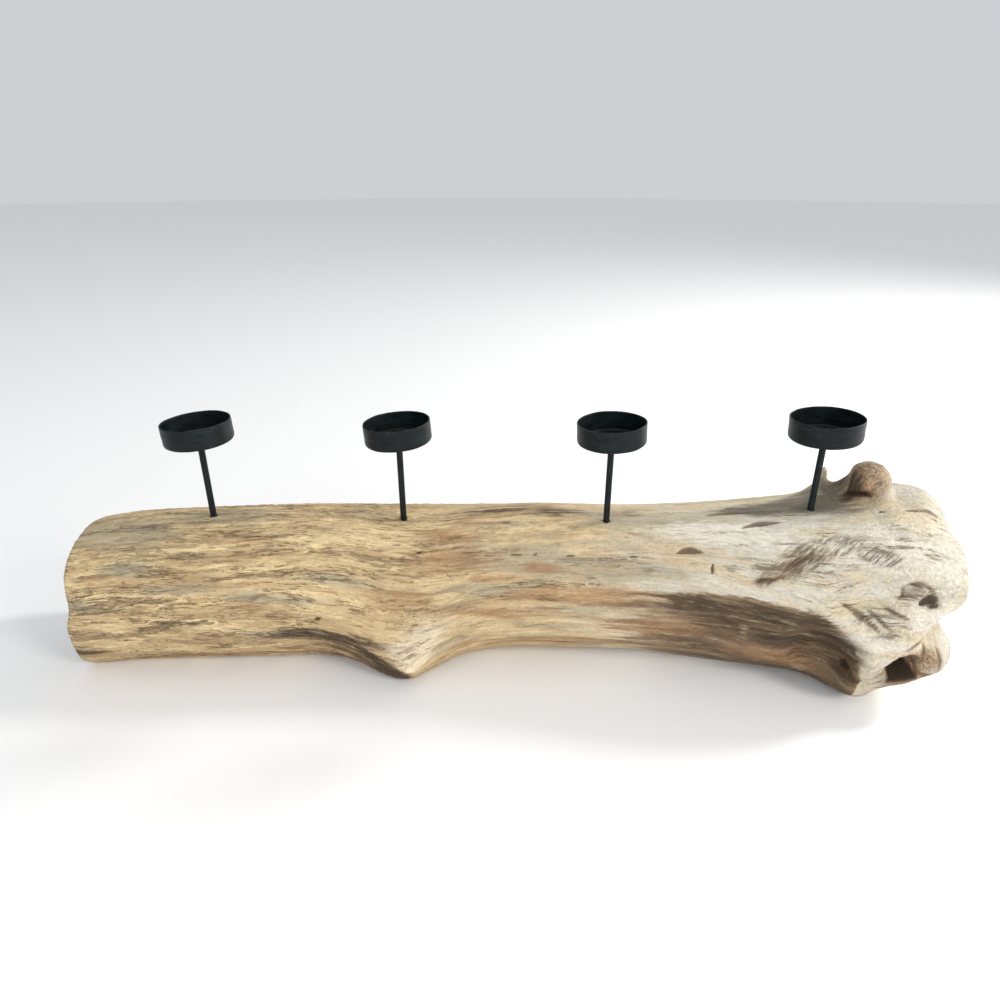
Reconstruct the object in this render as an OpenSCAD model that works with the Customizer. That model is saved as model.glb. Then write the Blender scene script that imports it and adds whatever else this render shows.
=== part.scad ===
// Driftwood tealight holder.
// One natural log lies on its trimmed underside. Four upright blind holes are drilled along its
// crest, and a steel stem with a pressed steel cup welded on top stands in each hole.
// X runs along the log, Y away from its front, Z up. The origin is at the level of the table,
// under the middle of the log.

/* [Log] */
// Length of the log from end to end
log_length = 554; // [530:1:600]
// Height of the plain, round part of the log
log_thickness = 98; // [94:1:104]
// Height planed off the underside so that the log lies still
log_trim = 2; // [1:0.5:4]

/* [Cups] */
// Outside diameter of a cup
cup_diameter = 42; // [40:0.5:46]
// Outside height of a cup
cup_height = 13.6; // [11:0.2:18]
// Thickness of the sheet steel
cup_wall = 0.8; // [0.6:0.1:1.2]
// Outside radius of the bend between a cup's wall and its floor
cup_bend = 2.4; // [1.8:0.2:4]

/* [Stems] */
// Diameter of a stem
stem_diameter = 4; // [3:0.5:6]
// Length of a stem from its foot to the underside of its cup
stem_length = 80; // [76:1:84]
// Diameter of the weld bead under a cup
weld_diameter = 7; // [6:0.5:9]
// Height of the weld bead
weld_height = 1.2; // [0.8:0.2:2]
// Gap all round a stem in its hole
stem_gap = 0.06; // [0.03:0.01:0.1]

/* [Hidden] */

// The log at its natural size. Each station is a cross-section:
// [x, y of its middle, half its depth, height of its top, height of its underside]
NATURAL_LENGTH = 554;
NATURAL_THICKNESS = 98;
STATIONS = [
    [-277, -10, 49, 92, -6],
    [-238, -6, 49, 96, -5],
    [-188, -3, 50, 98, -4],
    [-93, 6, 51, 98, -3],
    [2, 10, 49, 99, 1],
    [87, 9, 49, 100, 1],
    [147, 6, 54, 105, -3],
    [197, 5, 58, 111, -3],
    [242, 7, 58, 120, -2],
    [277, 7, 46, 118, 10],
];
LEFT_EDGE = 12;
RIGHT_EDGE = 5;

// Lumps and hollows: [where it is centred, its reach, how it moves the wood, steepness]
STUB = [[-65, -38, 14], 28, [4, -20, -12], 2];
FOOT = [[232, -44, 22], 32, [2, -19, -7], 3];
TOE = [[264, -42, 26], 17, [8, -12, 1], 3];
UNDER_TOE = [[266, -44, 2], 22, [-2, 9, 10], 2];
FOOT_HOLLOW = [[248, -66, 24], 8, [-3, 12, 2], 3];
SHOULDER = [[268, -36, 76], 22, [4, -7, 0], 2];
NOTCH = [[279, -46, 56], 10, [-11, 5, 0], 2];
BACK_CORNER = [[280, 44, 112], 34, [-12, 0, 2], 2];
KNOB = [[230, 8, 116], 13.5, [0, 0, 22], 3];
SPUR = [[207, 22, 110], 7, [0, 0, 14], 2];
LUMPS = [STUB, FOOT, TOE, UNDER_TOE, FOOT_HOLLOW, SHOULDER, NOTCH, BACK_CORNER, KNOB, SPUR];

// Where each stem stands: [x, y, height of the underside of its cup]
STEMS = [[-188, -6, 147.6], [-65, 3, 146], [67, -4, 150], [193, -6, 155.4]];

stretch = log_length / NATURAL_LENGTH;
swell = log_thickness / NATURAL_THICKNESS;
hole_diameter = stem_diameter + 2 * stem_gap;
cup_radius = cup_diameter / 2;

function station_before(x, i = 0) =
    i >= len(STATIONS) - 2 || x < STATIONS[i + 1][0] ? i : station_before(x, i + 1);
function slope(i, column) =
    let (low = max(i - 1, 0), high = min(i + 1, len(STATIONS) - 1))
    (STATIONS[high][column] - STATIONS[low][column]) / (STATIONS[high][0] - STATIONS[low][0]);
// A smooth curve through one column of the stations
function along(x, column) =
    let (
        i = station_before(x),
        span = STATIONS[i + 1][0] - STATIONS[i][0],
        t = (x - STATIONS[i][0]) / span
    )
    (2 * t^3 - 3 * t^2 + 1) * STATIONS[i][column] + (3 * t^2 - 2 * t^3) * STATIONS[i + 1][column]
    + span * ((t^3 - 2 * t^2 + t) * slope(i, column) + (t^3 - t^2) * slope(i + 1, column));

function total(list, i = 0) = i == len(list) ? [0, 0, 0] : list[i] + total(list, i + 1);
function shifts(p) = [for (lump = LUMPS) lump[2] * exp(-(norm(p - lump[0]) / lump[1])^lump[3])];
// A point on the skin of the log, drawn in from the section's full size
function skin(x, angle, inset, keep) =
    let (
        half_depth = keep * (along(x, 2) - inset),
        half_height = keep * ((along(x, 3) - along(x, 4)) / 2 - inset),
        middle = (along(x, 3) + along(x, 4)) / 2,
        p = [x, along(x, 1) + half_depth * cos(angle), middle + half_height * sin(angle)]
    )
    p + total(shifts(p));

// Rings of points from end to end: [x, inset, share of the section kept]
function edge_rings(end, radius) = [
    for (keep = [0.02, 0.35, 0.7]) [end, radius, keep],
    for (turn = [0 : 22.5 : 67.5]) [end - sign(end) * radius * (1 - cos(turn)),
                                    radius * (1 - sin(turn)), 1],
];
function reversed(list) = [for (i = [len(list) - 1 : -1 : 0]) list[i]];
RINGS = [
    each edge_rings(-NATURAL_LENGTH / 2, LEFT_EDGE),
    for (x = [-265 : 12 : 163]) [x, 0, 1],
    for (x = [167.5 : 4.5 : 271.5]) [x, 0, 1],
    each reversed(edge_rings(NATURAL_LENGTH / 2, RIGHT_EDGE)),
];
RING_POINTS = 48;

module driftwood() {
    last = len(RINGS) - 1;
    points = [
        for (ring = RINGS, k = [0 : RING_POINTS - 1])
            skin(ring[0], 360 * k / RING_POINTS, ring[1], ring[2])
    ];
    sides = [
        for (r = [0 : last - 1], k = [0 : RING_POINTS - 1])
            let (a = r * RING_POINTS + k, b = r * RING_POINTS + (k + 1) % RING_POINTS)
            each [[a, b + RING_POINTS, b], [a, a + RING_POINTS, b + RING_POINTS]]
    ];
    left_end = [for (k = [0 : RING_POINTS - 1]) k];
    right_end = [for (k = [RING_POINTS - 1 : -1 : 0]) last * RING_POINTS + k];
    scale([stretch, swell, swell]) polyhedron(points, [left_end, each sides, right_end]);
}

// The upright line that a stem stands on, with the origin at the stem's foot
module at_foot(i) {
    place = STEMS[i - 1];
    translate([place[0] * stretch, place[1] * swell, place[2] * swell - stem_length]) children();
}

module log() {
    color("burlywood") difference() {
        translate([0, 0, -log_trim]) driftwood();
        translate([-log_length, -log_length / 2, -log_length]) cube([2 * log_length, log_length, log_length]);
        for (i = [1 : len(STEMS)]) {
            at_foot(i) cylinder(h = stem_length, d = hole_diameter, $fn = 48);
        }
    }
}

module stem(i) {
    color([0.1, 0.11, 0.12]) at_foot(i) cylinder(h = stem_length, d = stem_diameter, $fn = 48);
}

module weld(i) {
    color([0.1, 0.11, 0.12]) at_foot(i) translate([0, 0, stem_length - weld_height]) difference() {
        cylinder(h = weld_height, d1 = stem_diameter + 0.6, d2 = weld_diameter, $fn = 48);
        translate([0, 0, -1]) cylinder(h = weld_height + 2, d = stem_diameter, $fn = 48);
    }
}

// A quarter bend from the cup's floor up to its wall, as points around the bend's centre
function bend(radius) = [
    for (turn = [0 : 15 : 90]) [cup_radius - cup_bend + radius * sin(turn), cup_bend - radius * cos(turn)]
];

module cup(i) {
    color([0.1, 0.11, 0.12]) at_foot(i) translate([0, 0, stem_length]) rotate_extrude($fn = 96) polygon([
        [0, 0],
        each bend(cup_bend),
        [cup_radius, cup_height],
        [cup_radius - cup_wall, cup_height],
        each reversed(bend(cup_bend - cup_wall)),
        [0, cup_wall],
    ]);
}

log();
cup(1);  // cup_1
cup(2);  // cup_2
cup(3);  // cup_3
cup(4);  // cup_4
stem(1);  // stem_1
stem(2);  // stem_2
stem(3);  // stem_3
stem(4);  // stem_4
weld(1);  // weld_1
weld(2);  // weld_2
weld(3);  // weld_3
weld(4);  // weld_4
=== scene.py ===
import math

import bmesh
import bpy
import numpy as np
from mathutils import Euler, Matrix, Vector, noise


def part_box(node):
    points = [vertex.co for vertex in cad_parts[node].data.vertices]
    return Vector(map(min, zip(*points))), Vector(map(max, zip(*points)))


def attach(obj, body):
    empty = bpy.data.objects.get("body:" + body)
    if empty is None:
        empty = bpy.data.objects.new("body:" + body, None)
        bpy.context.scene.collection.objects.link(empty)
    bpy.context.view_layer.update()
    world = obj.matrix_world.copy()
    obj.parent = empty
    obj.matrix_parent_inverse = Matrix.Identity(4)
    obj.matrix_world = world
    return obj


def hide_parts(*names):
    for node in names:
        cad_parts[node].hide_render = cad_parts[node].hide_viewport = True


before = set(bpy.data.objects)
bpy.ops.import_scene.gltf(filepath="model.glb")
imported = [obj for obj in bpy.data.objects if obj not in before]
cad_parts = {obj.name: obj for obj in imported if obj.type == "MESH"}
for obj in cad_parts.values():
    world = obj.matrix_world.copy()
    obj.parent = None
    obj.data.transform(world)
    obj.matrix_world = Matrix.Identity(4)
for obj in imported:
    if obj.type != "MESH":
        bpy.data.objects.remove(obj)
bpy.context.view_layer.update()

MM = 0.001
STANDS = (1, 2, 3, 4)

# ---------------------------------------------------------------- colours


def tint(red, green, blue):
    """A colour given as 0 to 255 display values, as the linear colour that a shader takes."""
    parts = [v / 255 for v in (red, green, blue)]
    return tuple(v / 12.92 if v <= 0.04045 else ((v + 0.055) / 1.055) ** 2.4 for v in parts) + (1,)


CREAM = tint(219, 196, 154)
CHALK = tint(226, 211, 184)
PALE = tint(205, 199, 185)
BONE = tint(203, 189, 160)
ASH = tint(224, 218, 204)
STRAW = tint(226, 202, 154)
SAND = tint(192, 165, 124)
TAN = tint(162, 132, 96)
RUST = tint(158, 118, 82)
EARTH = tint(116, 94, 70)
DEEP_BROWN = tint(74, 58, 42)
# The colour of the painted shadow of the knob round stem 4's base
SHADE_GREY = tint(92, 87, 74)
GREEN_GREY = tint(160, 151, 128)
GREY_BROWN = tint(126, 107, 82)
LINE_BROWN = tint(92, 66, 42)
UMBER = tint(70, 56, 42)
# The painted shade deepest in the hollows
CREVICE_SHADE = tint(44, 31, 20)
COAT_BLACK = tint(5, 11, 13)
COAT_SLATE = tint(12, 23, 26)
COAT_GREY = tint(44, 60, 62)
DUST = tint(128, 122, 112)
BARE_STEEL = tint(112, 110, 106)

# ---------------------------------------------------------------- shader helper


class Shader:
    """One material, with short calls that add the nodes it is made of."""

    def __init__(self, name):
        self.material = bpy.data.materials.new(name)
        self.material.use_nodes = True
        self.tree = self.material.node_tree
        self.surface = self.tree.nodes["Principled BSDF"]

    def put(self, socket, value):
        if isinstance(value, bpy.types.NodeSocket):
            self.tree.links.new(value, socket)
        else:
            socket.default_value = value

    def node(self, kind, inputs, **settings):
        made = self.tree.nodes.new(kind)
        for name, value in settings.items():
            setattr(made, name, value)
        for key, value in inputs.items():
            self.put(made.inputs[key], value)
        return made

    def math(self, operation, a, b=0.0):
        return self.node("ShaderNodeMath", {0: a, 1: b}, operation=operation).outputs[0]

    def plus(self, a, b):
        return self.math("ADD", a, b)

    def minus(self, a, b):
        return self.math("SUBTRACT", a, b)

    def times(self, a, b):
        return self.math("MULTIPLY", a, b)

    def larger(self, a, b):
        return self.math("MAXIMUM", a, b)

    def vector(self, operation, a, b):
        return self.node("ShaderNodeVectorMath", {0: a, 1: b}, operation=operation).outputs[0]

    def mix(self, amount, a, b):
        made = self.node("ShaderNodeMix", {0: amount, 6: a, 7: b}, data_type="RGBA", clamp_factor=True)
        return made.outputs[2]

    def cover(self, colour, amount, share, over):
        """A colour with another laid over it, as thick as the amount times the share."""
        return self.mix(self.times(amount, share), colour, over)

    def fade(self, amount, a, b):
        """Number a where the amount is 0, and number b where it is 1."""
        made = self.node("ShaderNodeMix", {0: amount, 2: a, 3: b}, data_type="FLOAT", clamp_factor=True)
        return made.outputs[0]

    def step(self, value, low, high):
        """0 at low, 1 at high, with a soft change between them."""
        sockets = {0: value, 1: low, 2: high, 3: 0.0, 4: 1.0}
        return self.node("ShaderNodeMapRange", sockets, interpolation_type="SMOOTHSTEP").outputs[0]

    def attribute(self, name, output="Fac"):
        return self.node("ShaderNodeAttribute", {}, attribute_name=name).outputs[output]

    def stretch(self, vector, scale, offset=(0, 0, 0)):
        sockets = {"Vector": vector, "Scale": scale, "Location": offset}
        return self.node("ShaderNodeMapping", sockets).outputs[0]

    def noise(self, vector, scale, detail=3.0, roughness=0.5, distortion=0.0):
        sockets = {"Vector": vector, "Scale": scale, "Detail": detail, "Roughness": roughness,
                   "Distortion": distortion}
        return self.node("ShaderNodeTexNoise", sockets).outputs["Fac"]

    def place(self):
        """The object's own coordinates, in millimetres."""
        return self.stretch(self.node("ShaderNodeTexCoord", {}).outputs["Object"], (1 / MM,) * 3)

    def bump(self, height, distance, strength):
        sockets = {"Height": height, "Distance": distance, "Strength": strength}
        return self.node("ShaderNodeBump", sockets).outputs[0]


# ---------------------------------------------------------------- mesh helpers


def add_object(name, mesh):
    made = bpy.data.objects.new(name, mesh)
    bpy.context.scene.collection.objects.link(made)
    return made


def apply_modifiers(thing):
    """Replaces an object's mesh with what its modifiers make of it."""
    shaped = bpy.data.meshes.new_from_object(thing.evaluated_get(bpy.context.evaluated_depsgraph_get()))
    thing.modifiers.clear()
    thing.data = shaped


def remesh(thing, voxel, smoothing):
    """Rebuilds an object's mesh from cubes of the given size, then smooths it so many times."""
    made = thing.modifiers.new("remesh", "REMESH")
    made.mode = "VOXEL"
    made.voxel_size = voxel
    soft = thing.modifiers.new("smooth", "SMOOTH")
    soft.factor = 0.5
    soft.iterations = smoothing
    apply_modifiers(thing)


def points_of(mesh):
    flat = np.empty(len(mesh.vertices) * 3)
    mesh.vertices.foreach_get("co", flat)
    return flat.reshape(-1, 3)


def normals_of(mesh):
    flat = np.empty(len(mesh.vertices) * 3)
    mesh.vertex_normals.foreach_get("vector", flat)
    return flat.reshape(-1, 3)


def move_points(mesh, points):
    mesh.vertices.foreach_set("co", points.ravel())
    mesh.update()


def shade_smooth(mesh):
    for face in mesh.polygons:
        face.use_smooth = True


def smooth_step(values, low, high):
    """0 up to low and 1 from high, with a soft change between them."""
    t = np.clip((values - low) / (high - low), 0, 1)
    return t * t * (3 - 2 * t)


def fractal(points, size, octaves=4, seed=0.0):
    """Fractal noise, about -1 to 1, with features of the given size in each direction."""
    scaled = points / np.asarray(size) + seed
    return np.array([noise.fractal(p, 1.0, 2.0, octaves) for p in scaled])


def store(mesh, name, values):
    """Keeps one number or one vector at each point of the mesh, for a material to read."""
    kind, key = ("FLOAT", "value") if values.ndim == 1 else ("FLOAT_VECTOR", "vector")
    mesh.attributes.new(name, kind, "POINT").data.foreach_set(key, values.astype(np.float32).ravel())


# ---------------------------------------------------------------- the log's shape

ROUGH_VOXEL = 3 * MM
VOXEL = 1.65 * MM
# A round figure for the log's radius, in millimetres, used wherever the log is unrolled
LOG_RADIUS = 50
# The clearance all round a stem in its hole, as in the CAD
STEM_GAP = 0.06 * MM
# Corners of the CAD log that are part of a hole lie this near its stem, and this little below its end
HOLE_MARGIN = 0.4 * MM
HOLE_FLOOR_MARGIN = 0.1 * MM
# Corners nearer than this are one corner
LOG_MERGE = 0.01 * MM
TURNED_MERGE = 0.001 * MM

# Lumps melted into the log, in millimetres: centre, radii, turn in degrees, and how they are rounded
# (1 is an ellipsoid, less is squarer)
LUMPS = {
    "knob": ((231, 6, 125), (12.5, 11.5, 10), (0, 16, 0), 0.9),
    "knob_chin": ((227, 0, 121), (9, 8, 6.5), (0, 12, 20), 0.9),
    "spur": ((208, 23, 112), (3.4, 3.4, 15), (0, 6, 0), 1),
    "spur_root": ((211, 22, 106), (7, 6, 7), (0, 0, 0), 1),
}
# The sawn ends, in millimetres: where the face lies, how far out the log starts to be drawn out to it,
# and how much it is drawn out
SAWN_ENDS = [(277, 268, 1.6), (-271, 262, 1.3)]
# Shapes on the log, in millimetres: centre, reach along x, y and z, tilt seen from the front in
# degrees (positive rises to the right), push in x, y and z, and how steep the sides are
SCULPT = {
    "under_buttress": ((150, -50, 44), (50, 22, 13), -6, (0, 8, 0), 2),
    "under_buttress_end": ((194, -56, 32), (17, 20, 15), -40, (-1, 9, 0), 3),
    "foot_hollow": ((242, -66, 32), (10.5, 20, 5.2), 12, (-1, 15, 1), 5),
    "stem_2_dip": ((-65, -2, 97), (26, 9, 8), 0, (0, 0, -2.6), 2),
    "stem_3_rise": ((67, -9, 98), (34, 9, 8), 0, (0, -0.5, 2.8), 2),
    "stem_4_rise": ((193, -11, 104), (24, 9, 8), 0, (0, -0.5, 3.2), 2),
    "foot_brow": ((240, -62, 47), (16, 12, 4.5), 6, (0, -3.5, 1), 2),
    "foot_lip": ((242, -62, 20), (13, 12, 5), 14, (0, -4, 0), 2),
    "foot_undercut": ((256, -62, 4), (18, 18, 11), -10, (-4, 12, 11), 2),
    "foot_heel": ((214, -60, 6), (15, 18, 10), 0, (0, -5, -2), 2),
    "root_belly": ((186, -50, 12), (34, 20, 14), -6, (0, -3, -2), 2),
    "foot_cheek": ((220, -62, 30), (6, 14, 14), 4, (0, -5, 0), 2),
    "toe_bulge": ((266, -52, 32), (9, 14, 10), 0, (1.5, -4, -1), 2),
    "waist": ((269, -46, 46), (12, 16, 5.5), 24, (-12, 7, 0), 2),
    "eye_arc": ((240, -52, 79), (9, 8, 1.8), 18, (0, 2.6, -1.2), 3),
    "eye_ball": ((245, -51, 74), (7, 8, 3), 8, (0, -1.4, 0.6), 2),
    "eye_slit": ((252, -50, 69), (8, 8, 2.6), -12, (0, 3.6, -1.5), 3),
    "stub_shade": ((-108, -46, 20), (30, 16, 8), -14, (0, 3, -1), 2),
    "stub_tip": ((-57, -59, 11), (8, 12, 8), 0, (4, -3, -1), 2),
    "knob_mouth": ((223, -9, 117.5), (8, 7, 3), 4, (0, 6, 0), 3),
    "knob_cheek": ((214, 2, 119), (5, 10, 6), 8, (4, 0, -2), 2),
    "knob_neck": ((246, 4, 117), (5, 12, 5), 10, (-4, 0, -3), 2),
    "knob_throat": ((232, -10, 113), (14, 6, 4), 6, (0, 3, -2), 2),
    "left_heel": ((-262, -40, 9), (16, 22, 12), 0, (-7, 0, -3), 2),
    "stub_flank": ((-20, -42, 7), (24, 20, 12), 0, (0, -3, -3.5), 2),
    "left_notch": ((-273, -50, 54), (8, 18, 12), 0, (4.5, 1, 0), 2),
    "end_bevel": ((276, -12, 107), (13, 18, 13), 0, (-2, 1, -5.5), 2),
    "end_corner": ((262, 2, 114), (9, 12, 8), 0, (2, 0, 1.5), 2),
    "crest_dip": ((-40, 10, 99), (44, 34, 14), 0, (0, 0, -3.4), 2),
    "under_middle": ((105, -38, 8), (32, 18, 10), 0, (0, 1, 2), 2),
    "long_dent": ((20, -28, 84), (60, 12, 6), 2, (0, 1.2, -0.8), 2),
    "shoulder_dent": ((120, -36, 72), (40, 12, 5), -6, (0, 1.4, 0), 2),
    "burl_swell": ((214, -47, 72), (28, 14, 12), -12, (0, -2.5, 1), 2),
    "ridge_pedestal": ((153, -47, 40), (4, 12, 11), 0, (0, -2, 0), 2),
}
# Creases that stand proud of the log: the points they run through, how wide they are, and how high
# they stand at each point
RIDGES = [
    ([(84, -37, 66), (127, -43, 67), (153, -49, 67), (172, -52, 65), (187, -54, 61), (204, -56, 53),
      (213, -61, 45), (215, -64, 34), (213, -61, 14)], 6, [0, 2, 3, 4, 5, 6, 5, 4, 4]),
    ([(-118, -44, 40), (-90, -49, 31), (-60, -59, 13)], 7, [0, 3, 4]),
]
# Gouges and scratches, in millimetres and degrees: centre, half length, tilt and depth
GOUGES = [
    ((213, -56, 62), 9, -38, 2.0), ((219, -55, 59), 12, -44, 2.4), ((225, -54, 60), 11, -40, 2.2),
    ((232, -53, 65), 9, -32, 1.8), ((207, -54, 67), 7, -30, 1.4), ((238, -52, 62), 7, -26, 1.6),
    ((257, -58, 41), 8, 64, 1.2), ((265, -54, 34), 8, 78, 1.2), ((250, -61, 45), 9, 24, 1.4),
    ((160, -43, 78), 9, 12, 0.8), ((182, -36, 89), 9, 30, 1.0), ((176, -38, 87), 7, 34, 1.0),
    ((238, -51, 76), 5, 42, 1.2), ((246, -48, 80), 6, 4, 1.2), ((255, -48, 76), 5, -44, 1.2),
]
GOUGE_WIDTH = 1.3
GOUGE_REACH = 9
# How dark the gouges are painted: painted shade in them
GOUGE_DARKNESS = 0.6
# The angle between the grain and the strokes where the wood is rucked up, in degrees
RUFFLE_TILT = 36
# How far the grain sweeps down at the foot and at the branch stub, in degrees round the log
FOOT_SWEEP = 26
STUB_SWEEP = 11
# Hollows with a flat lower edge and an arched upper one: centre, half width, height, slope of the
# wood there (0 upright, 90 level), tilt seen from the front, depth and darkness, the darkness being
# painted shade inside the hollow
HOLLOWS = [
    ((117, -25, 85.5), 9, 5.2, 40, 1, 1.4, 0.5), ((162, -15, 100), 15, 4.0, 80, 2, 1.0, 0.5),
    ((130, -34, 77), 1.1, 9, 30, 0, 1.0, 0.7), ((144, -2, 102), 18, 4.4, 85, -2, 0.8, 0.4),
    ((242, -58, 24), 11, 12, 0, 8, 0, 1.0), ((254, -47, 64), 8, 6, 60, -12, 1.5, 0.75),
    ((246, -48, 73), 9, 7, 20, -8, 0.6, 0.3), ((223, -7, 117), 7.5, 6, 10, 6, 0, 0.85),
    ((-51, -26, 82), 3, 2, 45, 0, 0.6, 0.7), ((10, -24, 81), 6, 1.8, 50, 0, 0.5, 0.55),
    ((44, -24, 81), 4.5, 1.6, 50, 0, 0.5, 0.6), ((22, -24, 82), 2, 1.6, 45, 0, 0.5, 0.55),
    ((83, -25, 82), 4, 1.2, 45, 0, 0.4, 0.6), ((-253, -56, 44), 2.4, 1.6, 0, 0, 0.6, 0.95),
    ((-114, -47, 45), 1.4, 3, 10, 0, 0.8, 0.85), ((210, -61, 26), 3, 9, 0, 0, 1.5, 0.95),
    ((250, -14, 110), 6, 2.5, 70, 4, 0.6, 0.5), ((233, -15, 112), 2, 2.5, 60, 0, 0.6, 0.6),
]
# How far into the wood and out of it a hollow's outline holds, in millimetres
HOLLOW_REACH = 20


def away_from(points, centre, tilt):
    """The way to each point from a centre, in millimetres, turned by a tilt seen from the front."""
    return (points / MM - np.asarray(centre)) @ np.array(Matrix.Rotation(math.radians(-tilt), 3, "Y"))


def falloff(points, centre, reach, tilt, steepness=2):
    """1 at the centre, fading to 0 past the reach. Points are in metres, the rest in millimetres."""
    away = away_from(points, centre, tilt)
    return np.exp(-np.linalg.norm(away / np.asarray(reach), axis=1) ** steepness)


def ridge_lift(points, path, width, heights):
    """How far a crease lifts each point: the points in metres, the rest in millimetres."""
    lift = np.zeros(len(points))
    for start, end, low, high in zip(path[:-1], path[1:], heights[:-1], heights[1:]):
        start, end = np.asarray(start), np.asarray(end)
        along = (points / MM - start) @ (end - start) / ((end - start) @ (end - start))
        along = np.clip(along, 0, 1)
        away = points / MM - start - along[:, None] * (end - start)
        # The side above the crease falls away gently, the side below it steeply
        reach = np.where(away[:, 2] > 0, width * 1.8, width * 0.7)
        height = (low + (high - low) * along) * np.exp(-(np.linalg.norm(away, axis=1) / reach) ** 2)
        lift = np.maximum(lift, height)
    return lift


def hollow(points, centre, half_width, height, slope, tilt):
    """1 inside a hollow of that shape and 0 outside. Points are in metres, the rest in millimetres."""
    away = away_from(points, centre, tilt)
    lean = math.radians(slope)
    across = away[:, 0] / half_width
    up = away @ np.array([0, math.sin(lean), math.cos(lean)]) / height
    beside = np.abs(away @ np.array([0, math.cos(lean), -math.sin(lean)]))
    arch = smooth_step(1 - across ** 2 - up, 0, 0.35) * smooth_step(up, -0.12, 0.12)
    return arch * (beside < HOLLOW_REACH)


def gouge(points, centre, half_length, tilt):
    """1 in the middle of a gouge, fading to 0 beside it. Points are in metres, the rest in millimetres."""
    return falloff(points, centre, (half_length, GOUGE_REACH, GOUGE_WIDTH), tilt)


def lump(centre, radii, turn, roundness):
    """A closed lump to be melted into the log, in millimetres and degrees."""
    mesh = bpy.data.meshes.new("lump")
    bm = bmesh.new()
    turned_by = Euler([math.radians(a) for a in turn]).to_matrix().to_4x4()
    place = Matrix.Translation(Vector(centre) * MM) @ turned_by
    bmesh.ops.create_icosphere(bm, subdivisions=4, radius=1)
    for vert in bm.verts:
        vert.co = [math.copysign(abs(c) ** roundness, c) for c in vert.co]
    bmesh.ops.transform(bm, matrix=place @ Matrix.Diagonal((*Vector(radii) * MM, 1)), verts=bm.verts)
    bm.to_mesh(mesh)
    bm.free()
    return mesh


def join(thing, meshes):
    """Adds more meshes to an object's own."""
    bm = bmesh.new()
    bm.from_mesh(thing.data)
    for mesh in meshes:
        bm.from_mesh(mesh)
    bm.to_mesh(thing.data)
    bm.free()


def plugged_log():
    """The CAD log's mesh with its four stem holes closed."""
    bm = bmesh.new()
    bm.from_mesh(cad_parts["log"].data)
    bmesh.ops.remove_doubles(bm, verts=bm.verts, dist=LOG_MERGE)
    inside = []
    for i in STANDS:
        low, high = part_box(f"stem_{i}")
        axis = (low + high) / 2
        reach = (high.x - low.x) / 2 + HOLE_MARGIN
        for vert in bm.verts:
            near = math.hypot(vert.co.x - axis.x, vert.co.y - axis.y) < reach
            if near and vert.co.z > low.z - HOLE_FLOOR_MARGIN:
                inside.append(vert)
    bmesh.ops.delete(bm, geom=inside, context="VERTS")
    bmesh.ops.holes_fill(bm, edges=[e for e in bm.edges if e.is_boundary], sides=0)
    bmesh.ops.triangulate(bm, faces=bm.faces)
    mesh = bpy.data.meshes.new("driftwood")
    bm.to_mesh(mesh)
    bm.free()
    return mesh


def axis_of(points):
    """The middle and the radius of the log at each point's place along it."""
    x = points[:, 0]
    cuts = np.linspace(x.min(), x.max(), 24)
    rows = []
    for low, high in zip(cuts[:-1], cuts[1:]):
        slab = points[(x >= low) & (x <= high)]
        edges = np.percentile(slab[:, 1:], [2, 98], axis=0)
        rows.append([(low + high) / 2, *edges.mean(axis=0), (edges[1] - edges[0]).mean() / 2])
    rows = np.array(rows)
    return [np.interp(x, rows[:, 0], rows[:, k]) for k in (1, 2, 3)]


def angle_of(points):
    """Each point's angle round the log, in degrees: 0 is the front and 90 the crest."""
    middle_y, middle_z, _ = axis_of(points)
    return np.degrees(np.arctan2(points[:, 2] - middle_z, middle_y - points[:, 1]))


def flow_of(points):
    """The angle round the log, in degrees, of the grain line that passes through each point. The grain
    sweeps down to the foot at the root end and round the branch stub."""
    angle = angle_of(points)
    along = points[:, 0] / MM
    to_foot = smooth_step(along, 80, 240) * FOOT_SWEEP * np.exp(-((angle - 8) / 58) ** 2)
    to_stub = STUB_SWEEP * np.exp(-((along + 62) / 50) ** 2) * np.exp(-((angle + 12) / 36) ** 2)
    return angle + to_foot + to_stub


def grain_of(points):
    """Coordinates in millimetres that follow the grain: along the log, and two that go round it."""
    angle = np.radians(flow_of(points))
    return np.column_stack([points[:, 0] / MM, -LOG_RADIUS * np.cos(angle), LOG_RADIUS * np.sin(angle)])


def gnarl_of(points):
    """1 at the root end and on the knob, where the wood has no straight grain, and 0 along the rest of the
    log. It reaches furthest along the log at the foot."""
    x, z = points[:, 0] / MM, points[:, 2] / MM
    root = smooth_step(x + 0.5 * np.clip(60 - z, 0, None), 196, 238)
    knob = np.clip(1.5 * falloff(points, (222, 4, 122), (20, 22, 18), 0), 0, 1)
    return np.maximum(root, knob)


def drill(thing):
    """Cuts the four stem holes as the CAD log has them."""
    bm = bmesh.new()
    for i in STANDS:
        low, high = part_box(f"stem_{i}")
        middle = (low + high) / 2
        bore = (high.x - low.x) / 2 + STEM_GAP
        bmesh.ops.create_cone(bm, cap_ends=True, segments=40, radius1=bore, radius2=bore,
                              depth=high.z - low.z, matrix=Matrix.Translation(middle))
    mesh = bpy.data.meshes.new("drills")
    bm.to_mesh(mesh)
    bm.free()
    drills = add_object("drills", mesh)
    cut = thing.modifiers.new("holes", "BOOLEAN")
    cut.operation = "DIFFERENCE"
    cut.solver = "MANIFOLD"
    cut.object = drills
    apply_modifiers(thing)
    bpy.data.objects.remove(drills)
    # The cut leaves faces with many corners round the holes
    bm = bmesh.new()
    bm.from_mesh(thing.data)
    bmesh.ops.triangulate(bm, faces=[face for face in bm.faces if len(face.verts) > 4])
    bm.to_mesh(thing.data)
    bm.free()


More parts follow.
